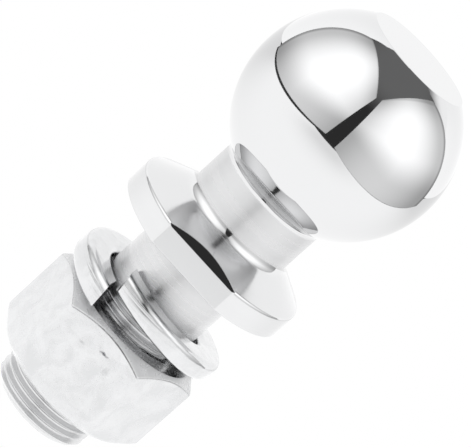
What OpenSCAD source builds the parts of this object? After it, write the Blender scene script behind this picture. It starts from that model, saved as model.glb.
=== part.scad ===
// Tow ball on a threaded shank, with its split spring washer and hex nut.
// Origin: centre of the flange's underside, +Z up through the ball.

/* [Ball] */
// Diameter of the ball
ball_d = 50.8; // [42:0.1:60]
// Height of the ball's centre above the flange's underside
ball_h = 43.8; // [38:0.1:60]
// Width of the flat on the crown
crown_d = 26.8; // [10:0.1:32]

/* [Neck] */
// Diameter of the neck
neck_d = 28; // [24:0.1:32]
// Fillet between the neck and the ball
neck_top_r = 2.2; // [0.6:0.1:3]
// Fillet between the neck and the flange
neck_foot_r = 2.6; // [1:0.1:4]

/* [Flange] */
// Diameter of the flange
flange_d = 46.8; // [42:0.1:56]
// Thickness of the flange at its rim
rim_h = 6; // [3:0.1:9]
// Slope of the flange's upper face, in degrees
top_slope = 28.4; // [5:0.1:32]
// Width across the two wrench flats
flats_w = 42.5; // [38:0.1:46]
// Drop of each flat's bevelled upper edge below the rim's upper edge
flat_drop = 0.4; // [0:0.1:1.5]
// Slope of the bevel above each flat, in degrees
bevel_slope = 66; // [35:1:75]
// Break on the rim's edges
rim_edge = 0.5; // [0.1:0.1:1]

/* [Shank] */
// Diameter of the shank and of its thread's crests
shank_d = 25.4; // [20:0.1:28]
// Length of the shank below the flange
shank_len = 52.5; // [48:0.5:75]
// Length of the full-size stretch under the flange
plain_len = 8; // [5:0.1:8.3]
// Depth by which the rest of the shank is drawn below the thread's crests
thread_ease = 0.2; // [0.1:0.05:0.5]
// Chamfer at the shank's end
end_chamfer = 1.6; // [0.5:0.1:3]

/* [Nut] */
// Width across the nut's flats
nut_af = 36.8; // [34:0.1:42]
// Height of the nut
nut_h = 22.2; // [14:0.1:26]
// Diameter of the round bearing face at each end of the nut
nut_face_d = 34.8; // [32:0.1:40]
// Slope of the chamfer on the nut's corners, in degrees
nut_chamfer = 34; // [10:1:40]
// Depth of the countersink at each end of the bore
sink_depth = 1; // [0.3:0.1:2]
// Radial gap between the thread and the nut's bore
thread_gap = 0.05; // [0.02:0.01:0.1]
// Distance from the flange's underside down to the nut's upper face
nut_drop = 21.4; // [21:0.1:26]
// Turn of the nut about the shank, in degrees
nut_turn = -2; // [-30:0.1:30]

/* [Washer] */
// Play of the washer's bore on the shank
washer_play = 1.4; // [1.4:0.1:2.4]
// Width of the washer's wire
wire_w = 7.3; // [5:0.05:9]
// Thickness of the wire at the coil's lower end
wire_t_low = 6.4; // [4:0.1:7]
// Thickness of the wire at the coil's upper end
wire_t_high = 5; // [4:0.1:7]
// Rounding of the wire's corners
wire_edge = 1.7; // [0.3:0.1:2]
// Rise of the washer's coil in one turn
washer_rise = 6.2; // [4.5:0.1:7]
// Opening between the washer's ends, in degrees
washer_gap = 5; // [3:0.5:20]
// Angle by which the bore's edge of each end trails the rim's, in degrees
end_skew = 13; // [0:0.5:16]
// Direction of the washer's lower end, in degrees
end_dir = -116; // [-180:1:180]
// Lean of the coil as it rests on the nut, in degrees
lean = 5.7; // [3:0.1:6.5]
// Direction towards which the leaning coil is raised, in degrees
lean_dir = -144; // [-180:1:180]
// Gap between the resting coil and the nut
seat_gap = 0.05; // [0.02:0.01:0.2]

/* [Hidden] */
$fn = 96;
cut = 1;
coil_steps = 60;
edge_steps = 3;

ball_r = ball_d / 2;
neck_r = neck_d / 2;
flange_r = flange_d / 2;
shank_r = shank_d / 2;
thread_r = shank_r - thread_ease;
bore_r = thread_r + thread_gap;
crown_h = ball_h + sqrt(ball_r ^ 2 - (crown_d / 2) ^ 2);

// Centre of the fillet that touches both the neck and the ball
top_fillet = [neck_r + neck_top_r,
              ball_h - sqrt((ball_r + neck_top_r) ^ 2 - (neck_r + neck_top_r) ^ 2)];
// Height of the flange's sloping upper face at a radius
function face_z(r) = rim_h + (flange_r - r) * tan(top_slope);
// Centre of the fillet that touches both the neck and that face
foot_fillet = [neck_r + neck_foot_r,
               face_z(neck_r + neck_foot_r) + neck_foot_r / cos(top_slope)];

// Tow ball, forged and turned in one piece
module ball_section() {
    intersection() {
        translate([0, ball_h]) circle(r = ball_r);
        translate([0, ball_h - ball_r]) square([ball_r, crown_h - ball_h + ball_r]);
    }
}

module neck_section() {
    square([neck_r, ball_h]);
    // Fillet under the ball
    difference() {
        polygon([[neck_r - cut, top_fillet.y],
                 top_fillet,
                 [0, ball_h],
                 [neck_r - cut, ball_h - cut]]);
        translate(top_fillet) circle(r = neck_top_r);
    }
    // Fillet at the flange
    foot_touch = foot_fillet - neck_foot_r * [sin(top_slope), cos(top_slope)];
    difference() {
        polygon([[neck_r - cut, foot_fillet.y],
                 foot_fillet,
                 foot_touch,
                 [neck_r - cut, face_z(neck_r)]]);
        translate(foot_fillet) circle(r = neck_foot_r);
    }
}

module flange_section() {
    polygon([[0, 0],
             [flange_r - rim_edge, 0],
             [flange_r, rim_edge],
             [flange_r, rim_h - rim_edge],
             [flange_r - rim_edge, face_z(flange_r - rim_edge)],
             [neck_r, face_z(neck_r)],
             [0, face_z(neck_r)]]);
}

module shank_section() {
    translate([0, -plain_len]) square([shank_r, plain_len + cut]);
    polygon([[0, cut],
             [thread_r, cut],
             [thread_r, end_chamfer - shank_len],
             [thread_r - end_chamfer, -shank_len],
             [0, -shank_len]]);
}

// Everything beyond one wrench flat, with the bevel above it
module flat_cutter() {
    bevel_z = rim_h - flat_drop;
    bevel_reach = 2 * rim_h;
    rotate([90, 0, 90])
        linear_extrude(height = flange_d + 2 * cut, center = true)
            polygon([[flats_w / 2, -cut],
                     [flats_w / 2, bevel_z],
                     [flats_w / 2 - bevel_reach, bevel_z + bevel_reach * tan(bevel_slope)],
                     [flange_r + cut, bevel_z + bevel_reach * tan(bevel_slope)],
                     [flange_r + cut, -cut]]);
}

module tow_ball() {
    color("gainsboro") {
        rotate_extrude() {
            ball_section();
            neck_section();
            shank_section();
        }
        difference() {
            rotate_extrude() flange_section();
            for (side = [0, 1]) rotate([0, 0, 180 * side]) flat_cutter();
        }
    }
}

// Split spring washer: a coil of rounded square wire that leans on the nut
function corner_points(cx, cz, from) =
    [for (i = [0:edge_steps])
        let (a = from + 90 * i / edge_steps)
        [cx + wire_edge * cos(a), cz + wire_edge * sin(a)]];

washer_in = (shank_d + washer_play) / 2;
washer_out = washer_in + wire_w;
function wire_section(t) =
    let (low = washer_in + wire_edge, high = washer_out - wire_edge, mid = t / 2 - wire_edge)
    concat(corner_points(high, -mid, -90),
           corner_points(high, mid, 0),
           corner_points(low, mid, 90),
           corner_points(low, -mid, 180));
section_n = 4 * (edge_steps + 1);
coil_turn = 360 - washer_gap;

// A point of the coil, climbing clockwise from its lower end, then leaned over
function leaned(p) =
    let (along = p.x * cos(lean_dir) + p.y * sin(lean_dir),
         lifted = along * cos(lean) - p.z * sin(lean),
         shift = lifted - along)
    [p.x + shift * cos(lean_dir),
     p.y + shift * sin(lean_dir),
     along * sin(lean) + p.z * cos(lean)];

coil_points =
    [for (i = [0:coil_steps])
        let (part = i / coil_steps)
        for (q = wire_section(wire_t_low + (wire_t_high - wire_t_low) * part))
            let (turned = coil_turn * part + end_skew * (washer_out - q.x) / wire_w,
                 a = end_dir - turned)
            leaned([q.x * cos(a), q.x * sin(a),
                    q.y + washer_rise * (turned / 360 - 0.5)])];

coil_faces = concat(
    [[for (j = [0:section_n - 1]) j]],
    [for (i = [0:coil_steps - 1]) for (j = [0:section_n - 1])
        let (next = (j + 1) % section_n, low = i * section_n, high = low + section_n)
        [low + j, high + j, high + next, low + next]],
    [[for (j = [section_n - 1:-1:0]) coil_steps * section_n + j]]);

coil_low = min([for (p = coil_points) p.z]);

module lock_washer() {
    color("silver")
        translate([0, 0, seat_gap - nut_drop - coil_low])
            polyhedron(points = coil_points, faces = coil_faces, convexity = 6);
}

// Hex nut with chamfered corners and a countersunk bore
module nut_blank() {
    corner_r = nut_af / sqrt(3);
    reach = corner_r + cut;
    fall = (reach - nut_face_d / 2) * tan(nut_chamfer);
    intersection() {
        rotate([0, 0, nut_turn]) cylinder(h = nut_h, r = corner_r, $fn = 6);
        rotate_extrude()
            polygon([[0, 0],
                     [nut_face_d / 2, 0],
                     [reach, fall],
                     [reach, nut_h - fall],
                     [nut_face_d / 2, nut_h],
                     [0, nut_h]]);
    }
}

module nut_hole() {
    sink_r = bore_r + sink_depth;
    rotate_extrude()
        polygon([[0, -cut],
                 [sink_r + cut, -cut],
                 [bore_r, sink_depth],
                 [bore_r, nut_h - sink_depth],
                 [sink_r + cut, nut_h + cut],
                 [0, nut_h + cut]]);
}

module hex_nut() {
    color("lightgray")
        translate([0, 0, -nut_drop - nut_h])
            difference() {
                nut_blank();
                nut_hole();
            }
}

tow_ball();
lock_washer();
hex_nut();
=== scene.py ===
# Threaded tow ball with its split spring washer and hex nut, in a white light tent
import math

import bmesh
import bpy
from mathutils import Matrix, Vector


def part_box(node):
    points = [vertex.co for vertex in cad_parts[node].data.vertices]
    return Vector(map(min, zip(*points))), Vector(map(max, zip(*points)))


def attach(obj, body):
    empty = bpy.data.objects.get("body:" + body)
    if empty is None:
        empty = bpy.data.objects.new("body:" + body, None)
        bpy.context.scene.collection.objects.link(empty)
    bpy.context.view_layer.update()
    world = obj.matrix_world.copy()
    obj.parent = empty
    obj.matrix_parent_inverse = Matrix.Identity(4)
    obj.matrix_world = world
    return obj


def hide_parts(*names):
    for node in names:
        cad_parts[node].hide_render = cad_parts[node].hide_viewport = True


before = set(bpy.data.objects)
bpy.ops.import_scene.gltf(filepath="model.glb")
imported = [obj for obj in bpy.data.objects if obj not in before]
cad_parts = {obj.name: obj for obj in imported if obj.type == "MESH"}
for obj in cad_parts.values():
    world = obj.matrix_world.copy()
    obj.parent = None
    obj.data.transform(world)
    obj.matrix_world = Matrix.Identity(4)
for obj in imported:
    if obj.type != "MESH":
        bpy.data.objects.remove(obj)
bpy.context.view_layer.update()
mm = 0.001
weld = 1e-6            # metres within which two vertices are one
slack = 0.05           # millimetres within which a ring of edges is found again
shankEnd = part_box("tow_ball")[0].z / mm


# A corner of a section is drawn as a small arc with a flat run-up on each side
def roundedCorner(before, corner, after, radius, steps=4, runUp=0.12):
    arcShare, runUpShare, leastAngle = 0.42, 0.1, 0.05
    corner = Vector(corner)
    back, ahead = Vector(before) - corner, Vector(after) - corner
    shorter = min(back.length, ahead.length)
    if shorter < 1e-6:
        return [corner.copy() for _ in range(steps + 3)]
    half = max(leastAngle, back.angle(ahead) / 2)
    reach = min(radius / math.tan(half), arcShare * shorter)
    runUp = min(runUp, runUpShare * shorter)
    back.normalize()
    ahead.normalize()
    start, end = corner + back * reach, corner + ahead * reach
    points = [corner + back * (reach + runUp)]
    for i in range(steps + 1):
        t = i / steps
        points.append(start * (1 - t) ** 2 + corner * 2 * t * (1 - t) + end * t ** 2)
    points.append(corner + ahead * (reach + runUp))
    return points


def arcPoints(centre, radius, fromAngle, toAngle, steps):
    points = []
    for i in range(steps + 1):
        a = math.radians(fromAngle + (toAngle - fromAngle) * i / steps)
        points.append(Vector((centre[0] + radius * math.cos(a), centre[1] + radius * math.sin(a))))
    return points


# The smaller of two lengths, eased over where they cross
def softMin(a, b, blend):
    h = max(blend - abs(a - b), 0) / blend
    return min(a, b) - h * h * blend / 4


# Degrees in any order become radians in order, with no two almost alike
def spacedAngles(degrees, turn=0):
    closest = 0.05
    angles = sorted(set(round((a + turn) % 360, 4) for a in degrees))
    return [math.radians(a) for i, a in enumerate(angles)
            if i == 0 or a - angles[i - 1] > closest]


# A skin from the sections at each angle, top to bottom; a point on the axis is one vertex
def skinFromSections(angles, sectionAt):
    bm = bmesh.new()
    rings = []
    for angle in angles:
        ring = []
        for r, z in sectionAt(angle):
            ring.append(bm.verts.new((r * math.cos(angle) * mm, r * math.sin(angle) * mm, z * mm)))
        rings.append(ring)
    for i, here in enumerate(rings):
        there = rings[(i + 1) % len(rings)]
        for j in range(len(here) - 1):
            bm.faces.new((here[j], here[j + 1], there[j + 1], there[j]))
    bmesh.ops.remove_doubles(bm, verts=bm.verts, dist=weld)
    bmesh.ops.dissolve_degenerate(bm, edges=bm.edges, dist=weld)
    return bm


def openRing(bm, radius, z):
    return [e for e in bm.edges if e.is_boundary and all(
        abs(math.hypot(v.co.x, v.co.y) - radius * mm) < slack * mm
        and abs(v.co.z - z * mm) < slack * mm for v in e.verts)]


# Adds a thread's skin to a piece and closes each flat gap between two open rings
def joinThread(bm, threadMesh, gaps):
    bm.from_mesh(threadMesh)
    bmesh.ops.remove_doubles(bm, verts=bm.verts, dist=weld)
    for z, outer, inner in gaps:
        bmesh.ops.bridge_loops(bm, edges=openRing(bm, outer, z) + openRing(bm, inner, z))


def finishMesh(bm, name, materials, body, nodeName, zoneAt=None):
    print(name, "open edges", sum(e.is_boundary for e in bm.edges), "faces", len(bm.faces))
    bmesh.ops.recalc_face_normals(bm, faces=bm.faces)
    mesh = bpy.data.meshes.new(name)
    bm.to_mesh(mesh)
    bm.free()
    mesh.polygons.foreach_set("use_smooth", [True] * len(mesh.polygons))
    for material in materials:
        mesh.materials.append(material)
    for face in mesh.polygons:
        face.material_index = zoneAt(face) if zoneAt else 0
    piece = bpy.data.objects.new(name, mesh)
    bpy.context.scene.collection.objects.link(piece)
    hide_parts(nodeName)
    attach(piece, body)


# Links come as (socket, source) pairs, and fixed values by socket name
def nodeMaker(tree):
    def add(kind, *links, **settings):
        node = tree.nodes.new(kind)
        values = settings.pop("values", {})
        for key, value in settings.items():
            setattr(node, key, value)
        for key, value in values.items():
            node.inputs[key].default_value = value
        for socket, source in links:
            tree.links.new(source, node.inputs[socket])
        return node
    return add


def mathNodes(tree):
    add = nodeMaker(tree)

    def calc(operation, *terms):
        node = add("ShaderNodeMath", operation=operation)
        for i, term in enumerate(terms):
            if isinstance(term, (int, float)):
                node.inputs[i].default_value = term
            else:
                tree.links.new(term, node.inputs[i])
        return node.outputs[0]
    return calc


# A Geometry Nodes tree with its named inputs: sizes, one whole count and a material
def geometryTree(name, sizes, countName, count):
    tree = bpy.data.node_groups.new(name, "GeometryNodeTree")
    face = tree.interface
    for size, value in sizes.items():
        face.new_socket(size, in_out="INPUT", socket_type="NodeSocketFloat").default_value = value
    whole = face.new_socket(countName, in_out="INPUT", socket_type="NodeSocketInt")
    whole.default_value = count
    face.new_socket("Material", in_out="INPUT", socket_type="NodeSocketMaterial")
    face.new_socket("Geometry", in_out="OUTPUT", socket_type="NodeSocketGeometry")
    add = nodeMaker(tree)
    return tree, add, mathNodes(tree), add("NodeGroupInput").outputs


def finishTree(add, shape, material):
    real = add("GeometryNodeRealizeInstances", ("Geometry", shape))
    skinned = add("GeometryNodeSetMaterial", ("Geometry", real.outputs[0]), ("Material", material))
    add("NodeGroupOutput", ("Geometry", skinned.outputs[0]))


# Runs a Geometry Nodes tree with its named inputs and gives the mesh that it makes
def meshFromTree(tree, inputs):
    holder = bpy.data.objects.new("holder", bpy.data.meshes.new("holder"))
    bpy.context.scene.collection.objects.link(holder)
    modifier = holder.modifiers.new("nodes", "NODES")
    modifier.node_group = tree
    for item in tree.interface.items_tree:
        if item.in_out == "INPUT" and item.name in inputs:
            modifier[item.identifier] = inputs[item.name]
    seen = bpy.context.evaluated_depsgraph_get()
    made = bpy.data.meshes.new_from_object(holder.evaluated_get(seen))
    bpy.data.objects.remove(holder)
    return made


# Effects that several materials share: they give heights and masks, and no shader
def groupWith(name, inputs, outputs):
    tree = bpy.data.node_groups.new(name, "ShaderNodeTree")
    for socket, value in inputs:
        made = tree.interface.new_socket(socket, in_out="INPUT", socket_type="NodeSocketFloat")
        made.default_value = value
    for socket in outputs:
        tree.interface.new_socket(socket, in_out="OUTPUT", socket_type="NodeSocketFloat")
    add = nodeMaker(tree)
    return tree, add, mathNodes(tree), add("NodeGroupInput").outputs


# Fine rings left by the lathe: they follow the section, down a wall or in across a face
def turningMarks():
    tree, add, calc, given = groupWith("turningMarks", (("Spacing", 0.3), ("Wander", 0.2)),
                                       ("Height", "Streak"))
    place = add("ShaderNodeSeparateXYZ", ("Vector", add("ShaderNodeTexCoord").outputs["Object"]))
    x, y, z = (place.outputs[k] for k in "XYZ")
    radius = calc("SQRT", calc("ADD", calc("MULTIPLY", x, x), calc("MULTIPLY", y, y)))
    downShare, inShare = 0.9, 0.45
    along = calc("SUBTRACT", calc("MULTIPLY", z, downShare), calc("MULTIPLY", radius, inShare))
    along = calc("DIVIDE", along, calc("MULTIPLY", given["Spacing"], mm))
    across = calc("MULTIPLY", calc("ARCTAN2", y, x), given["Wander"])
    where = add("ShaderNodeCombineXYZ", ("X", along), ("Y", across))
    fine = add("ShaderNodeTexNoise", ("Vector", where.outputs[0]), noise_dimensions="2D",
               values={"Scale": 1.0, "Detail": 2.0, "Roughness": 0.6})
    wide = add("ShaderNodeTexNoise", ("Vector", where.outputs[0]), noise_dimensions="2D",
               values={"Scale": 0.18, "Detail": 1.0})
    streak = add("ShaderNodeMapRange", ("Value", wide.outputs[0]),
                 values={"From Min": 0.35, "From Max": 0.65})
    add("NodeGroupOutput", ("Height", fine.outputs[0]), ("Streak", streak.outputs[0]))
    return tree


# Soft clouds of the plate and of the steel under it
def plateMottle():
    tree, add, calc, given = groupWith("plateMottle", (("Size", 3.0), ("Grain", 0.5)),
                                       ("Cloud", "Speckle", "Height"))
    place = add("ShaderNodeTexCoord").outputs["Object"]
    clouds = add("ShaderNodeTexNoise", ("Vector", place),
                 ("Scale", calc("DIVIDE", 1 / mm, given["Size"])),
                 values={"Detail": 3.0, "Roughness": 0.55, "Distortion": 0.6})
    cloud = add("ShaderNodeMapRange", ("Value", clouds.outputs[0]), interpolation_type="SMOOTHSTEP",
                values={"From Min": 0.3, "From Max": 0.7})
    grain = add("ShaderNodeTexNoise", ("Vector", place),
                ("Scale", calc("DIVIDE", 1 / mm, given["Grain"])), values={"Detail": 2.0})
    speckle = add("ShaderNodeMapRange", ("Value", grain.outputs[0]),
                  values={"From Min": 0.55, "From Max": 0.75})
    height = calc("ADD", calc("MULTIPLY", clouds.outputs[0], 0.8),
                  calc("MULTIPLY", grain.outputs[0], 0.2))
    add("NodeGroupOutput", ("Cloud", cloud.outputs[0]), ("Speckle", speckle.outputs[0]),
        ("Height", height))
    return tree


# Short scratches and rubs from handling, in two directions
def handlingScuffs():
    tree, add, calc, given = groupWith("handlingScuffs", (("Length", 8.0), ("Cover", 0.1)),
                                       ("Mask",))
    place = add("ShaderNodeTexCoord").outputs["Object"]
    threshold, coverShare, sharpness = 0.72, 0.3, 14.0
    masks = []
    for turn, squash in (((0.3, 0.5, 0.0), (1, 1, 0.08)), ((0.9, -0.4, 0.3), (0.1, 1, 1))):
        turned = add("ShaderNodeMapping", ("Vector", place), vector_type="TEXTURE",
                     values={"Rotation": turn, "Scale": squash})
        noise = add("ShaderNodeTexNoise", ("Vector", turned.outputs[0]),
                    ("Scale", calc("DIVIDE", 1 / mm, given["Length"])),
                    values={"Detail": 4.0, "Roughness": 0.7})
        least = calc("SUBTRACT", threshold, calc("MULTIPLY", given["Cover"], coverShare))
        masks.append(calc("MULTIPLY", calc("SUBTRACT", noise.outputs[0], least), sharpness))
    both = add("ShaderNodeClamp", ("Value", calc("MAXIMUM", *masks)))
    add("NodeGroupOutput", ("Mask", both.outputs[0]))
    return tree


marksGroup, mottleGroup, scuffsGroup = turningMarks(), plateMottle(), handlingScuffs()


def placeGroup(add, group, **values):
    node = add("ShaderNodeGroup")
    node.node_tree = group
    for name, value in values.items():
        node.inputs[name].default_value = value
    return node.outputs


# The first colour may come from a socket, and the second is a fixed one
def mixColours(add, mask, first, second):
    mix = add("ShaderNodeMix", ("Factor", mask), data_type="RGBA")
    if isinstance(first, tuple):
        mix.inputs["A"].default_value = (*first, 1)
    else:
        mix.id_data.links.new(first, mix.inputs["A"])
    mix.inputs["B"].default_value = (*second, 1)
    return mix.outputs["Result"]


def ranged(add, value, low, high):
    node = add("ShaderNodeMapRange", ("Value", value), values={"To Min": low, "To Max": high})
    return node.outputs[0]


def bumped(add, height, depth, *under):
    bump = add("ShaderNodeBump", ("Height", height), *under,
               values={"Strength": 1.0, "Distance": depth * mm})
    return bump.outputs[0]


def newMetal(name):
    material = bpy.data.materials.new(name)
    material.use_nodes = True
    tree = material.node_tree
    shader = tree.nodes["Principled BSDF"]
    shader.inputs["Metallic"].default_value = 1.0
    return material, tree, shader


# Lengths and depths are in millimetres
chromeLook = {
    "plain": (0.64, 0.642, 0.647),
    # the flats are given this darker tone
    "flatDarker": (0.585, 0.588, 0.593),
    "rubbed": (0.55, 0.553, 0.56),
    "ringWander": 0.15,
    "scuffLength": 9.0,
    "scuffRoughness": 0.06,
}
# The spread says how much wider reflections smear across the lathe's rings
chromeFinishes = {
    "polishedChrome": {"roughness": 0.035, "spacing": 0.5, "ringDepth": 0.0002, "scuffCover": 0.0},
    "turnedChrome": {"roughness": 0.13, "spacing": 0.35, "ringDepth": 0.0015, "scuffCover": 0.1,
                     "spread": 0.6},
    "smearedChrome": {"roughness": 0.28, "spacing": 0.35, "ringDepth": 0.0015, "scuffCover": 0.1,
                      "spread": 0.85},
    "threadChrome": {"roughness": 0.26, "spacing": 0.3, "ringDepth": 0.002, "scuffCover": 0.1,
                     "spread": 0.5},
    "flatChrome": {"roughness": 0.16, "spacing": 0.6, "ringDepth": 0.003, "scuffCover": 0.15,
                   "tone": "flatDarker"},
}


# Chrome: mirror bright on the ball, smeared along the section where the lathe's rings show
def chromePlate(name, roughness, spacing, ringDepth, scuffCover, spread=0.0, tone="plain"):
    look = chromeLook
    material, tree, shader = newMetal(name)
    add, calc = nodeMaker(tree), mathNodes(tree)
    marks = placeGroup(add, marksGroup, Spacing=spacing, Wander=look["ringWander"])
    scuffs = placeGroup(add, scuffsGroup, Length=look["scuffLength"], Cover=scuffCover)
    colour = mixColours(add, scuffs["Mask"], look[tone], look["rubbed"])
    tree.links.new(colour, shader.inputs["Base Color"])
    rough = calc("ADD", ranged(add, marks["Streak"], roughness * 0.9, roughness * 1.1),
                 calc("MULTIPLY", scuffs["Mask"], look["scuffRoughness"]))
    tree.links.new(rough, shader.inputs["Roughness"])
    tree.links.new(bumped(add, marks["Height"], ringDepth), shader.inputs["Normal"])
    if spread:
        shader.inputs["Anisotropic"].default_value = spread
        shader.inputs["Anisotropic Rotation"].default_value = 0.25
        around = add("ShaderNodeTangent", direction_type="RADIAL", axis="Z")
        tree.links.new(around.outputs[0], shader.inputs["Tangent"])
    return material


zincLook = {
    "bright": (0.64, 0.643, 0.65),
    "dull": (0.6, 0.604, 0.61),
    "scuffed": (0.42, 0.425, 0.44),
    "nick": (0.1, 0.1, 0.11),
    "grain": 0.5,
    "scuffLength": 5.0,
    "scuffDarkness": 0.5,
    "speckleRoughness": 0.08,
    "ringSpacing": 0.8,
    "ringWander": 0.5,
    "nickGrain": 1400.0,       # noise to the metre, which tears a nick's edge
    "nickRaggedness": 2.4,
    "nickEdge": 1.3,           # where a nick ends, in its own reach
}
# A nick has a centre, its reach on each axis and its darkness
zincFinishes = {
    "washerZinc": {"roughness": 0.15, "cloudSize": 3.5, "bumpDepth": 0.008, "scuffCover": 0.1,
                   "ringDepth": 0.05},
    "nutZinc": {"roughness": 0.24, "cloudSize": 4.5, "bumpDepth": 0.008, "scuffCover": 0.1,
                "nicks": (((1.2, -18.4, -26.1), (1.1, 1.0, 0.35), 0.9),
                          ((4.2, -18.4, -28.6), (0.9, 1.0, 0.9), 0.2),
                          ((-4.0, -18.4, -28.0), (0.8, 1.0, 0.3), 0.25))},
    "nutEndZinc": {"roughness": 0.3, "cloudSize": 2.5, "bumpDepth": 0.01, "scuffCover": 0.1,
                   "ringDepth": 0.02, "milky": 0.7},
}


# A torn little mark at one place of the surface
def nickMask(add, calc, look, centre, reach, darkness):
    place = add("ShaderNodeTexCoord").outputs["Object"]
    torn = add("ShaderNodeTexNoise", ("Vector", place),
               values={"Scale": look["nickGrain"], "Detail": 3.0})
    offset = add("ShaderNodeVectorMath", (0, place), operation="SUBTRACT")
    offset.inputs[1].default_value = [c * mm for c in centre]
    scaled = add("ShaderNodeVectorMath", (0, offset.outputs[0]), operation="DIVIDE")
    scaled.inputs[1].default_value = [r * mm for r in reach]
    away = add("ShaderNodeVectorMath", (0, scaled.outputs[0]), operation="LENGTH").outputs["Value"]
    tear = calc("MULTIPLY", calc("SUBTRACT", torn.outputs[0], 0.5), look["nickRaggedness"])
    inside = calc("SUBTRACT", look["nickEdge"], calc("ADD", away, tear))
    return ranged(add, calc("MINIMUM", calc("MAXIMUM", inside, 0.0), 1.0), 0.0, darkness)


# Zinc: bright and slightly milky, clouded where the plate is thicker
def zincPlate(name, roughness, cloudSize, bumpDepth, scuffCover, ringDepth=0.0, milky=0.0,
              nicks=()):
    look = zincLook
    material, tree, shader = newMetal(name)
    shader.inputs["Metallic"].default_value = 1.0 - milky
    add, calc = nodeMaker(tree), mathNodes(tree)
    mottle = placeGroup(add, mottleGroup, Size=cloudSize, Grain=look["grain"])
    scuffs = placeGroup(add, scuffsGroup, Length=look["scuffLength"], Cover=scuffCover)
    colour = mixColours(add, mottle["Cloud"], look["bright"], look["dull"])
    worn = calc("MULTIPLY", scuffs["Mask"], look["scuffDarkness"])
    colour = mixColours(add, worn, colour, look["scuffed"])
    for nick in nicks:
        colour = mixColours(add, nickMask(add, calc, look, *nick), colour, look["nick"])
    tree.links.new(colour, shader.inputs["Base Color"])
    rough = calc("ADD", ranged(add, mottle["Cloud"], roughness * 0.75, roughness * 1.25),
                 calc("MULTIPLY", mottle["Speckle"], look["speckleRoughness"]))
    tree.links.new(rough, shader.inputs["Roughness"])
    bump = bumped(add, mottle["Height"], bumpDepth)
    if ringDepth:
        marks = placeGroup(add, marksGroup, Spacing=look["ringSpacing"], Wander=look["ringWander"])
        bump = bumped(add, marks["Height"], ringDepth, ("Normal", bump))
    tree.links.new(bump, shader.inputs["Normal"])
    return material


chrome = {name: chromePlate(name, **values) for name, values in chromeFinishes.items()}
zinc = {name: zincPlate(name, **values) for name, values in zincFinishes.items()}
print("materials ready:", len(chrome) + len(zinc))

# Thread, on the shank and in the nut
thread = {
    "crestRadius": 12.7,
    "depth": 1.1,
    "pitch": 25.4 / 14,
    "plainLength": 16.4,
    "endChamfer": 1.6,
    "runOut": 1.8,
    "start": 0.4375,       # in turns: at 0.5 a crest stands right at the shank's end, on the X side
    "columns": 121,        # around the shank
}


def threadSizes(p):
    return {"Crest Radius": p["crestRadius"], "Depth": p["depth"], "Pitch": p["pitch"],
            "Top": 0.0, "Bottom": shankEnd, "Run Out": p["runOut"],
            "Thread Top": -p["plainLength"], "End Cut": p["endChamfer"], "Start": p["start"],
            "Sink": -100.0}


# A grid wound round the shank, with the thread's flanks along its rows
def threadTree(p):
    tree, add, calc, given = geometryTree("threadSkin", threadSizes(p), "Columns", p["columns"])
    rowsPerTurn = 16.0
    halfCrest, flank = 1 / 32, 11 / 32         # in pitches
    pitch, top, bottom = given["Pitch"], given["Top"], given["Bottom"]
    span = calc("ADD", calc("SUBTRACT", top, bottom), calc("MULTIPLY", pitch, 2.0))
    turns = calc("CEIL", calc("DIVIDE", span, pitch))
    rows = calc("ADD", calc("MULTIPLY", turns, rowsPerTurn), 1.0)
    grid = add("GeometryNodeMeshGrid", ("Vertices X", given["Columns"]), ("Vertices Y", rows),
               values={"Size X": 1.0, "Size Y": 1.0})
    place = add("ShaderNodeSeparateXYZ", ("Vector", add("GeometryNodeInputPosition").outputs[0]))
    turn = calc("ADD", place.outputs["X"], 0.5)
    along = calc("MULTIPLY", calc("ADD", place.outputs["Y"], 0.5), turns)
    # The height climbs one pitch in a turn, so each row follows the thread
    height = calc("ADD", calc("SUBTRACT", bottom, pitch),
                  calc("MULTIPLY", calc("ADD", along, turn), pitch))
    height = calc("MINIMUM", calc("MAXIMUM", height, bottom), top)
    phase = calc("FRACT", calc("ADD", along, given["Start"]))
    # A narrow crest, a root of a quarter of the pitch and flanks between
    offCrest = calc("SUBTRACT", calc("ABSOLUTE", calc("SUBTRACT", phase, 0.5)), halfCrest)
    groove = calc("MINIMUM", calc("MAXIMUM", calc("DIVIDE", offCrest, flank), 0.0), 1.0)
    runOut = add("ShaderNodeMapRange", ("Value", calc("SUBTRACT", given["Thread Top"], height)),
                 ("From Max", given["Run Out"]), interpolation_type="SMOOTHSTEP",
                 values={"From Min": 0.0, "To Min": 0.0, "To Max": 1.0}).outputs[0]
    cut = calc("MULTIPLY", calc("MULTIPLY", groove, runOut), given["Depth"])
    radius = calc("SUBTRACT", given["Crest Radius"], cut)
    endCone = calc("ADD", calc("SUBTRACT", given["Crest Radius"], given["End Cut"]),
                   calc("SUBTRACT", height, bottom))
    radius = calc("MINIMUM", radius, endCone)
    # Inside a nut both ends open out in a countersink
    inward = calc("MINIMUM", calc("SUBTRACT", top, height), calc("SUBTRACT", height, bottom))
    sink = calc("SUBTRACT", calc("ADD", given["Crest Radius"], given["Sink"]), inward)
    radius = calc("MAXIMUM", radius, sink)
    angle = calc("MULTIPLY", turn, 2 * math.pi)
    where = add("ShaderNodeCombineXYZ",
                ("X", calc("MULTIPLY", radius, calc("COSINE", angle))),
                ("Y", calc("MULTIPLY", radius, calc("SINE", angle))),
                ("Z", height))
    metres = add("ShaderNodeVectorMath", (0, where.outputs[0]), operation="SCALE",
                 values={"Scale": mm})
    placed = add("GeometryNodeSetPosition", ("Geometry", grid.outputs["Mesh"]),
                 ("Position", metres.outputs[0]))
    merged = add("GeometryNodeMergeByDistance", ("Geometry", placed.outputs[0]),
                 values={"Distance": 2 * weld})
    finishTree(add, merged.outputs[0], given["Material"])
    return tree


threadSkin = threadTree(thread)
print("thread ready")

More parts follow.
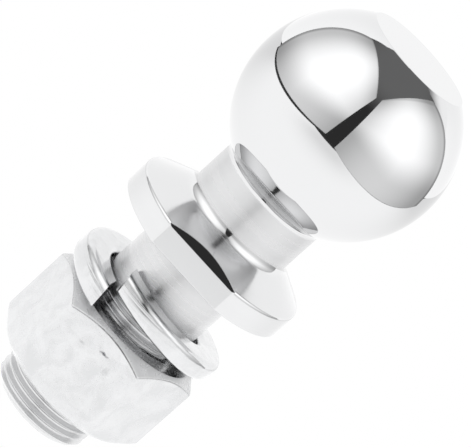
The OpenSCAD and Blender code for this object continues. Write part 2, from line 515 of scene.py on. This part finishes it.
# Tow ball: crown to the flange's underside in one skin, then the shank from there down
towBall = {
    "ballRadius": 25.4,
    "ballHeight": 43.8,
    "crownRadius": 13.4,
    "crownEdge": 0.5,      # rounding where the crown was faced off
    "neckRadius": 14.0,
    "neckTopFillet": 2.2,
    "neckFootFillet": 2.6,
    "flangeRadius": 23.4,
    "rimHeight": 6.0,
    "topSlope": 28.4,
    "flatHalfWidth": 21.25,
    "flatDrop": 0.4,
    "bevelSlope": 66.0,
    "edgeRound": 0.22,
    "rimRound": 0.8,
    "rimBlend": 0.25,      # rounding where a flat meets the rim, seen from above
    "undersideRadius": 13.4,
    "columns": 240,        # around the shaft
    "polishedFrom": 22.2,  # height, on the fillet under the ball
    "flatSideways": 0.98,  # this and the next three are parts of a face's normal
    "bevelSideways": 0.88,
    "bevelUpward": 0.3,
    "wallUpward": 0.1,
}


# Angles round the axis, closer together where a flat meets the rim
def flangeAngles(p):
    step = 360 / p["columns"]
    angles = [step * i for i in range(p["columns"])]
    corner = math.degrees(math.acos(p["flatHalfWidth"] / p["flangeRadius"]))
    fineStep, fineCount, early = 0.2, 17, 0.9
    for side in (-90, 90):
        for turn in (-1, 1):
            angles += [side + turn * (corner - early + fineStep * i) for i in range(fineCount)]
    return spacedAngles(angles)


def towBallSection(p):
    ballR, ballZ, neckR = p["ballRadius"], p["ballHeight"], p["neckRadius"]
    topFillet, footFillet = p["neckTopFillet"], p["neckFootFillet"]
    crownZ = ballZ + math.sqrt(ballR ** 2 - p["crownRadius"] ** 2)
    slope = math.tan(math.radians(p["topSlope"]))
    bevel = math.tan(math.radians(p["bevelSlope"]))
    bevelZ = p["rimHeight"] - p["flatDrop"]
    half = p["flatHalfWidth"]
    crownTrim, straightEnd = 3, 0.4            # degrees of the ball, millimetres of the neck

    def faceZ(r):
        return p["rimHeight"] + (p["flangeRadius"] - r) * slope

    topCentre = (neckR + topFillet,
                 ballZ - math.sqrt((ballR + topFillet) ** 2 - (neckR + topFillet) ** 2))
    footCentre = (neckR + footFillet,
                  faceZ(neckR + footFillet) + footFillet / math.cos(math.radians(p["topSlope"])))
    ballStart = math.degrees(math.asin((crownZ - ballZ) / ballR)) - crownTrim
    ballEnd = math.degrees(math.atan2(topCentre[1] - ballZ, topCentre[0]))
    ball = arcPoints((0, ballZ), ballR, ballStart, ballEnd, 54)
    crown = [Vector((0, crownZ)), Vector((p["crownRadius"] * 0.5, crownZ))]
    crown += roundedCorner((0, crownZ), (p["crownRadius"], crownZ), ball[0], p["crownEdge"], 4, 0.1)
    neckTop = arcPoints(topCentre, topFillet, ballEnd + 180, 180, 10)
    neck = [Vector((neckR, topCentre[1] - straightEnd)),
            Vector((neckR, footCentre[1] + straightEnd))]
    neckFoot = arcPoints(footCentre, footFillet, 180, 270 - p["topSlope"], 12)
    coneStart = neckFoot[-1]
    fixed = crown + ball + neckTop[1:] + neck + neckFoot

    def sectionAt(angle):
        lean = max(abs(math.sin(angle)), 1e-4)          # how far out a flat lies at this angle
        wall = softMin(p["flangeRadius"], half / lean, p["rimBlend"])

        def bevelAt(r):
            return bevelZ + (half - lean * r) * bevel

        # Where the bevel comes out of the upper face
        low, high = coneStart.x + 0.2, wall
        if faceZ(high) <= bevelAt(high):
            low = high
        for _ in range(30):
            mid = (low + high) / 2
            if faceZ(mid) < bevelAt(mid):
                low = mid
            else:
                high = mid
        meet = (low + high) / 2
        upper = Vector((meet, faceZ(meet)))
        edge = Vector((wall, min(faceZ(wall), bevelAt(wall))))
        foot = Vector((wall, 0))
        inner = Vector((p["undersideRadius"], 0))
        section = list(fixed)
        for t in (0.05, 0.2, 0.35, 0.5, 0.65, 0.8):
            r = coneStart.x + (upper.x - coneStart.x) * t
            section.append(Vector((r, faceZ(r))))
        last = section[-1]
        if (edge - upper).length < 0.02:                # no flat here: one corner, not two
            rim = roundedCorner(last, edge, foot, p["rimRound"])
            section += [last.lerp(rim[0], (i + 1) / 8) for i in range(7)] + rim
        else:
            section += roundedCorner(last, upper, edge, p["edgeRound"])
            section += roundedCorner(upper, edge, foot, p["edgeRound"])
        section += [edge.lerp(foot, 0.5)]
        section += roundedCorner(edge, foot, inner, p["edgeRound"])
        section += [foot.lerp(inner, 0.5), inner]
        return section

    return sectionAt


forgingFinishes = ("polishedChrome", "turnedChrome", "threadChrome", "flatChrome", "smearedChrome")


# The ball and the bevels are polished, the flats are milled and the rest is as turned
def forgingFinish(face):
    p = towBall
    x, y, z = face.center / mm
    sideways, upward = abs(face.normal.y), face.normal.z
    if z > p["polishedFrom"]:
        return "polishedChrome"
    if z < -thread["plainLength"]:
        return "threadChrome"
    if sideways > p["bevelSideways"] and upward > p["bevelUpward"]:
        return "polishedChrome"
    if sideways > p["flatSideways"] and abs(y) > p["flatHalfWidth"] - slack:
        return "flatChrome"
    onNeckOrShank = math.hypot(x, y) < p["neckRadius"] + 2 * slack
    straight = abs(upward) < p["wallUpward"] and onNeckOrShank
    return "smearedChrome" if straight else "turnedChrome"


bm = skinFromSections(flangeAngles(towBall), towBallSection(towBall))
shankMesh = meshFromTree(threadSkin, {
    **threadSizes(thread), "Columns": thread["columns"], "Material": chrome["threadChrome"]})
joinThread(bm, shankMesh, [(0, towBall["undersideRadius"], thread["crestRadius"])])
endRing = openRing(bm, thread["crestRadius"] - thread["endChamfer"], shankEnd)
bmesh.ops.holes_fill(bm, edges=endRing, sides=0)
finishMesh(bm, "towBallForging", [chrome[name] for name in forgingFinishes],
           "ball", "tow_ball",
           lambda face: forgingFinishes.index(forgingFinish(face)))

# Hex nut
hexNut = {
    "acrossFlats": 36.8,
    "faceRadius": 17.4,
    "chamferSlope": 34.0,
    "sinkRadius": 13.65,   # of the countersink's mouth
    "sinkLip": 0.2,        # flat ring between that mouth and the countersink's cone
    "threadPlay": 0.12,
    "cornerBlend": 0.35,   # rounding of the six corners, seen from above
    "faceEdge": 0.3,
    "edgeRound": 0.8,
    "turn": -2.0,
    "columns": 91,         # around the bore
    "milkyFrom": 16.0,     # radius outside which the sloping chamfer is milky
    "milkyUpward": (0.5, 0.97),
}
nutLow, nutHigh = (corner.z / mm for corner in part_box("hex_nut"))


# Every two degrees, and closer together at the six corners
def nutAngles(p):
    angles = [2 * i for i in range(180)]
    for k in range(6):
        angles += [60 * k + 0.25 * i for i in range(-10, 11)]
    return spacedAngles(angles, p["turn"])


def nutSection(angle):
    p = hexNut
    half = p["acrossFlats"] / 2
    a = (math.degrees(angle) - p["turn"] - 30) % 60
    a = a - 60 if a > 30 else a                         # from the middle of the nearest flat
    wall = half / math.cos(math.radians(a))
    other = half / math.cos(math.radians(60 - abs(a)))
    if other < wall + p["cornerBlend"]:
        wall = softMin(wall, other, p["cornerBlend"])
    fall = max(wall - p["faceRadius"], 0) * math.tan(math.radians(p["chamferSlope"]))
    top = [(p["sinkRadius"], nutHigh), (p["faceRadius"], nutHigh), (wall, nutHigh - fall),
           (wall, (nutLow + nutHigh) / 2)]
    upper = [Vector(top[0])]
    upper += roundedCorner(top[0], top[1], top[2], p["faceEdge"], 3)
    upper += roundedCorner(top[1], top[2], top[3], p["edgeRound"])
    upper.append(Vector(top[3]))
    lower = [Vector((q.x, nutLow + nutHigh - q.y)) for q in reversed(upper[:-1])]
    return upper + lower


def nutZone(face):
    least, most = hexNut["milkyUpward"]
    sloping = least < abs(face.normal.z) < most
    return 1 if sloping and face.center.xy.length > hexNut["milkyFrom"] * mm else 0


# The nut's thread keeps step with the shank's, and it has no run-out and no end chamfer
bm = skinFromSections(nutAngles(hexNut), nutSection)
boreRadius, farOff = thread["crestRadius"] + hexNut["threadPlay"], 100.0
mouth = hexNut["sinkRadius"] - hexNut["sinkLip"]
boreMesh = meshFromTree(threadSkin, {
    **threadSizes(thread), "Crest Radius": boreRadius, "Top": nutHigh, "Bottom": nutLow,
    "Thread Top": nutHigh + farOff, "End Cut": -farOff, "Sink": mouth - boreRadius,
    "Start": thread["start"] + (nutLow - shankEnd) / thread["pitch"],
    "Columns": hexNut["columns"], "Material": zinc["nutEndZinc"]})
joinThread(bm, boreMesh, [(end, hexNut["sinkRadius"], mouth) for end in (nutLow, nutHigh)])
finishMesh(bm, "hexNut", [zinc["nutZinc"], zinc["nutEndZinc"]], "nut", "hex_nut",
           nutZone)

# Split spring washer
springWasher = {
    "outerRadius": 20.7,
    "innerRadius": 13.4,
    "lowThickness": 6.4,   # of the wire at the coil's lower end
    "highThickness": 5.0,
    "wireRound": 1.7,
    "rise": 6.2,
    "gap": 3.0,
    "endSkew": 13.0,       # the ends are cut across the wire at a slant
    "endTilt": 3.7,
    "endDirection": -114.0,
    "lean": 5.7,
    "leanDirection": -144.0,
    "steps": 180,
}


def coilSizes(p):
    return {"Mid Radius": (p["outerRadius"] + p["innerRadius"]) / 2,
            "Wire Width": p["outerRadius"] - p["innerRadius"],
            "Low Height": p["lowThickness"], "High Height": p["highThickness"],
            "Wire Round": p["wireRound"], "Rise": p["rise"], "Gap": p["gap"],
            "End Skew": p["endSkew"], "End Tilt": p["endTilt"],
            "End Direction": p["endDirection"]}


def washerTree(p):
    tree, add, calc, given = geometryTree("springCoil", coilSizes(p), "Steps", p["steps"])
    # A straight bar of rounded wire, one unit long
    line = add("GeometryNodeCurvePrimitiveLine", values={"Start": (0, 0, 0), "End": (1, 0, 0)})
    path = add("GeometryNodeResampleCurve", ("Curve", line.outputs[0]), ("Count", given["Steps"]))
    upright = add("GeometryNodeSetCurveNormal", ("Curve", path.outputs[0]), mode="Z_UP")
    wire = add("GeometryNodeCurvePrimitiveQuadrilateral", ("Width", given["Wire Width"]),
               ("Height", given["Low Height"]))
    rounded = add("GeometryNodeFilletCurve", ("Curve", wire.outputs[0]),
                  ("Radius", given["Wire Round"]), values={"Count": 9}, mode="POLY")
    bar = add("GeometryNodeCurveToMesh", ("Curve", upright.outputs[0]),
              ("Profile Curve", rounded.outputs[0]), values={"Fill Caps": True})
    # Wound up clockwise from the lower end
    here = add("ShaderNodeSeparateXYZ",
               ("Vector", add("GeometryNodeInputPosition").outputs[0])).outputs
    part, outward = here["X"], here["Y"]
    inset = calc("SUBTRACT", 0.5, calc("DIVIDE", outward, given["Wire Width"]))
    raisedPart = calc("DIVIDE", here["Z"], given["Low Height"])
    slant = calc("ADD", calc("MULTIPLY", given["End Skew"], inset),
                 calc("MULTIPLY", given["End Tilt"], raisedPart))
    turned = calc("ADD", calc("MULTIPLY", calc("SUBTRACT", 360.0, given["Gap"]), part), slant)
    angle = calc("RADIANS", calc("SUBTRACT", given["End Direction"], turned))
    radius = calc("ADD", given["Mid Radius"], outward)
    thinner = calc("SUBTRACT", calc("DIVIDE", given["High Height"], given["Low Height"]), 1.0)
    height = calc("MULTIPLY", here["Z"], calc("ADD", calc("MULTIPLY", thinner, part), 1.0))
    climb = calc("MULTIPLY", given["Rise"], calc("SUBTRACT", calc("DIVIDE", turned, 360.0), 0.5))
    where = add("ShaderNodeCombineXYZ",
                ("X", calc("MULTIPLY", radius, calc("COSINE", angle))),
                ("Y", calc("MULTIPLY", radius, calc("SINE", angle))),
                ("Z", calc("ADD", climb, height)))
    coil = add("GeometryNodeSetPosition", ("Geometry", bar.outputs[0]),
               ("Position", where.outputs[0]))
    finishTree(add, coil.outputs[0], given["Material"])
    return tree


# The finished coil leans over and comes down until it touches the nut
coilMesh = meshFromTree(washerTree(springWasher), {
    **coilSizes(springWasher), "Steps": springWasher["steps"], "Material": zinc["washerZinc"]})
raised = math.radians(springWasher["leanDirection"])
leanAxis = Vector((math.sin(raised), -math.cos(raised), 0))
coilMesh.transform(Matrix.Rotation(math.radians(springWasher["lean"]), 4, leanAxis))
low = min(v.co.z for v in coilMesh.vertices)
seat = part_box("lock_washer")[0].z / mm
coilMesh.transform(Matrix.Scale(mm, 4) @ Matrix.Translation((0, 0, seat - low)))
bm = bmesh.new()
bm.from_mesh(coilMesh)
bmesh.ops.remove_doubles(bm, verts=bm.verts, dist=weld / 10)
finishMesh(bm, "springWasher", [zinc["washerZinc"]], "washer", "lock_washer")

# Light tent: two lit panels beside the camera, a dark gap between them and a pale table
tent = {
    "ballCentre": 43.8,
    "tableFront": 495,
    "tableSide": 900,
    "tableBack": 1400,
    "shadeSide": 300,
    "shadeBack": -110,
    "panelTop": 2.6,           # in distances of the panel
    "panelOuter": 1.7,
    "white": 1.38,             # chrome gives back less than two thirds of this
    "farLevel": 0.74,          # of the table behind the ball, which the edges mirror
    "frontLevel": 0.77,
    "backLevel": 0.88,
    "greyPart": 0.93,
    "backY": 700,
    "backSide": 1100,
    "backSplit": 800,          # height of the seam between the backdrop's low and high cards
    "backTop": 2990,
    "backOutline": [(255, 2990), (490, 2630), (834, 2048), (1100, 1650)],
}
# each panel has a dark strip along its foot: its height in millimetres and its glow
panels = {
    "Left": {"azimuth": -62, "distance": 400, "innerLow": 1.35, "innerHigh": 1.76, "outerTop": 2.6,
             "core": 1.72, "inner": 0.62, "outer": 0.48, "high": 0.7, "low": 0.58,
             "lowFrom": 0.36, "lowTo": -0.2, "lean": 0.33, "sill": 15, "sillGlow": 0.05},
    "Right": {"azimuth": 64, "distance": 305, "innerLow": 1.56, "innerHigh": 1.54, "outerTop": 3.0,
              "core": 1.68, "inner": 0.6, "outer": 0.51, "high": 0.7, "low": 0.6,
              "lowFrom": 0.5, "lowTo": -0.07, "lean": 0.25, "sill": 2.5, "sillGlow": 0.4},
}
# Where each fade starts and ends, and for the frame how far it falls
panelFades = {
    "inner": (0.1, 1.6),
    "outer": (0.1, -1.3),
    "high": (1.0, 2.6),
    "frameSide": (-1.4, -1.6, 0.6),
    "frameTop": (2.4, 2.6, 0.75),
}


# A glow of one level, or of a level that is made from the card's own map
def glowMaterial(name, level):
    material = bpy.data.materials.new(name)
    material.use_nodes = True
    tree = material.node_tree
    tree.nodes.clear()
    add = nodeMaker(tree)
    glow = add("ShaderNodeEmission")
    if callable(level):
        place = add("ShaderNodeUVMap", uv_map="UVMap").outputs[0]
        parts = add("ShaderNodeSeparateXYZ", ("Vector", place)).outputs
        made = level(add, mathNodes(tree), parts["X"], parts["Y"])
        tree.links.new(made, glow.inputs["Strength"])
    else:
        glow.inputs["Strength"].default_value = level
    add("ShaderNodeOutputMaterial", ("Surface", glow.outputs[0]))
    return material


def fade(add, value, start, end, low):
    node = add("ShaderNodeMapRange", ("Value", value), interpolation_type="SMOOTHSTEP",
               values={"From Min": start, "From Max": end, "To Min": 1.0, "To Max": low})
    return node.outputs[0]


# A panel's light fades towards each of its four edges, and once more at its frame
def panelLight(p, inward):
    f = panelFades

    def level(add, calc, mapX, z):
        x = calc("MULTIPLY", mapX, inward)
        across = calc("MINIMUM", fade(add, x, *f["inner"], p["inner"]),
                      fade(add, x, *f["outer"], p["outer"]))
        sunk = calc("SUBTRACT", z, calc("MULTIPLY", calc("MAXIMUM", x, 0.0), p["lean"]))
        up = calc("MINIMUM", fade(add, sunk, p["lowFrom"], p["lowTo"], p["low"]),
                  fade(add, z, *f["high"], p["high"]))
        edge = calc("MINIMUM", fade(add, x, *f["frameSide"]), fade(add, z, *f["frameTop"]))
        return calc("MULTIPLY", calc("MULTIPLY", across, up), calc("MULTIPLY", edge, p["core"]))
    return level


# A fade along the card; a second one across it says how much of the first is felt
def washLight(full, first, second=None):
    def level(add, calc, x, y):
        along = fade(add, y, *first)
        if second:
            aside = fade(add, calc("ABSOLUTE", x), *second)
            along = calc("SUBTRACT", 1.0, calc("MULTIPLY", calc("SUBTRACT", 1.0, along), aside))
        return calc("MULTIPLY", along, full)
    return level


def stageCard(name, corners, uvs, material):
    mesh = bpy.data.meshes.new(name)
    mesh.from_pydata([Vector(c) * mm for c in corners], [], [range(len(corners))])
    layer = mesh.uv_layers.new(name="UVMap")
    for i, uv in enumerate(uvs):
        layer.data[i].uv = uv
    mesh.materials.append(material)
    card = bpy.data.objects.new(name, mesh)
    bpy.context.scene.collection.objects.link(card)
    card.visible_camera = False


# Its map counts metres along the table
def tableCard(name, side, front, back, z, material):
    stageCard(name, [(-side, front, z), (side, front, z), (side, back, z), (-side, back, z)],
              [(-1, front * mm), (1, front * mm), (1, back * mm), (-1, back * mm)], material)


def buildTent(t):
    floorZ, front = shankEnd - 0.02, -t["tableFront"]
    tableWhite = washLight(t["white"], (-0.05, 0.3, t["farLevel"]))
    tableCard("table", t["tableSide"], front, t["tableBack"], floorZ,
              glowMaterial("tableWhite", tableWhite))
    shade = washLight(t["white"], (-0.11, -0.36, t["frontLevel"]), (0.2, 1.0, 0.0))
    tableCard("tableFrontShade", t["shadeSide"], front, t["shadeBack"], floorZ + 0.3,
              glowMaterial("tableShade", shade))
    up, middle = Vector((0, 0, 1)), Vector((0, 0, t["ballCentre"]))
    for name, p in panels.items():
        a, d = math.radians(p["azimuth"]), p["distance"]
        inward = 1 if name == "Left" else -1
        out = Vector((math.sin(a), -math.cos(a), 0))
        along = Vector((math.cos(a), math.sin(a), 0)) * inward
        foot, outer = (floorZ - t["ballCentre"]) / d, -t["panelOuter"]
        top = foot + p["sill"] / d
        panel = [(p["innerLow"], foot), (p["innerHigh"], t["panelTop"]), (outer, p["outerTop"]),
                 (outer, foot)]
        # a dark strip stands just in front of each panel's foot
        sill = [(p["innerLow"], foot), (p["innerLow"], top), (outer, top), (outer, foot)]
        for part, shape, away, glow in (
                ("panel", panel, 1, glowMaterial("panelGlow" + name, panelLight(p, inward))),
                ("sill", sill, 0.99, glowMaterial("sillDark" + name, p["sillGlow"]))):
            corners = [middle + (out * away + along * x + up * z) * d for x, z in shape]
            stageCard(part + name, corners, [(x * inward, z) for x, z in shape], glow)
    white = glowMaterial("backdropWhite",
                         washLight(t["white"], (1.0, 0.0, t["backLevel"]), (0.0, 1.0, 0.0)))
    grey = glowMaterial("backdropGrey", washLight(t["white"] * t["greyPart"], (1.05, 2.2, 0.2)))
    side, split, high, outline = t["backSide"], t["backSplit"], t["backTop"], t["backOutline"]
    low = [(side, floorZ), (side, split), (-side, split), (-side, floorZ)]
    left = [(0, split), (0, high)] + [(-x, z) for x, z in outline] + [(-side, split)]
    right = [(side, split)] + outline[::-1] + [(0, high), (0, split)]
    for name, shape, material, scale in (("backdropLow", low, white, 0),
                                         ("backdropLeft", left, white, 0),
                                         ("backdropRight", right, grey, mm)):
        stageCard(name, [(x, t["backY"], z) for x, z in shape],
                  [(x / side, z * scale) for x, z in shape], material)
    print("tent ready")


# Light from where no card stands; a direction's height is that of a unit length
roomLight = {
    "ceilingFrom": 0.6,
    "ceilingTo": 0.95,
    "ceilingLow": 0.045,
    "ceilingHigh": 0.225,
    "underFrom": -0.2,
    "underTo": -0.26,
    "under": 1.3,
}


def buildWorld(p):
    world = bpy.data.worlds.new("tentWorld")
    bpy.context.scene.world = world
    world.use_nodes = True
    tree = world.node_tree
    tree.nodes.clear()
    add = nodeMaker(tree)
    direction = add("ShaderNodeSeparateXYZ",
                    ("Vector", add("ShaderNodeTexCoord").outputs["Generated"]))
    level = add("ShaderNodeMapRange", ("Value", direction.outputs["Z"]),
                interpolation_type="SMOOTHSTEP",
                values={"From Min": p["ceilingFrom"], "From Max": p["ceilingTo"],
                        "To Min": p["ceilingLow"], "To Max": p["ceilingHigh"]})
    # Under the table, where the nut hangs when it is off the shank, it is light too
    below = add("ShaderNodeMapRange", ("Value", direction.outputs["Z"]),
                values={"From Min": p["underFrom"], "From Max": p["underTo"],
                        "To Min": 0.0, "To Max": p["under"]})
    both = add("ShaderNodeMath", (0, level.outputs[0]), (1, below.outputs[0]), operation="ADD")
    room = add("ShaderNodeBackground", ("Strength", both.outputs[0]))
    white = add("ShaderNodeBackground", values={"Strength": 1.0, "Color": (1, 1, 1, 1)})
    path = add("ShaderNodeLightPath")
    mix = add("ShaderNodeMixShader", (0, path.outputs["Is Camera Ray"]), (1, room.outputs[0]),
              (2, white.outputs[0]))
    add("ShaderNodeOutputWorld", ("Surface", mix.outputs[0]))
    print("world ready")


# Camera: long lens, low over the table, rolled so that the ball points up and right
cameraSet = {
    "lens": 256.1,
    "sensorWidth": 36,
    "distance": 732.6,
    "elevation": 16.26,
    "azimuth": -1.07,
    "roll": 47.9,
    "target": (-0.29, 0.0, 10.25),
}


def buildCamera(c):
    camera = bpy.data.objects.new("camera", bpy.data.cameras.new("camera"))
    bpy.context.scene.collection.objects.link(camera)
    camera.data.lens = c["lens"]
    camera.data.sensor_width = c["sensorWidth"]
    camera.data.clip_start, camera.data.clip_end = 0.05, 20
    lift, side = math.radians(c["elevation"]), math.radians(c["azimuth"])
    ahead = Vector((-math.sin(side), math.cos(side), 0))
    right = Vector((math.cos(side), math.sin(side), 0))
    back = Vector((0, 0, math.sin(lift))) - ahead * math.cos(lift)
    up = Vector((0, 0, math.cos(lift))) + ahead * math.sin(lift)
    roll = math.radians(c["roll"])
    xAxis = right * math.cos(roll) + up * math.sin(roll)
    yAxis = up * math.cos(roll) - right * math.sin(roll)
    turn = Matrix((xAxis, yAxis, back)).transposed().to_4x4()
    place = Vector(c["target"]) * mm + back * c["distance"] * mm
    camera.matrix_world = Matrix.Translation(place) @ turn
    bpy.context.scene.camera = camera
    print("camera ready")


buildTent(tent)
buildWorld(roomLight)
buildCamera(cameraSet)
bpy.context.scene.view_settings.view_transform = "Standard"
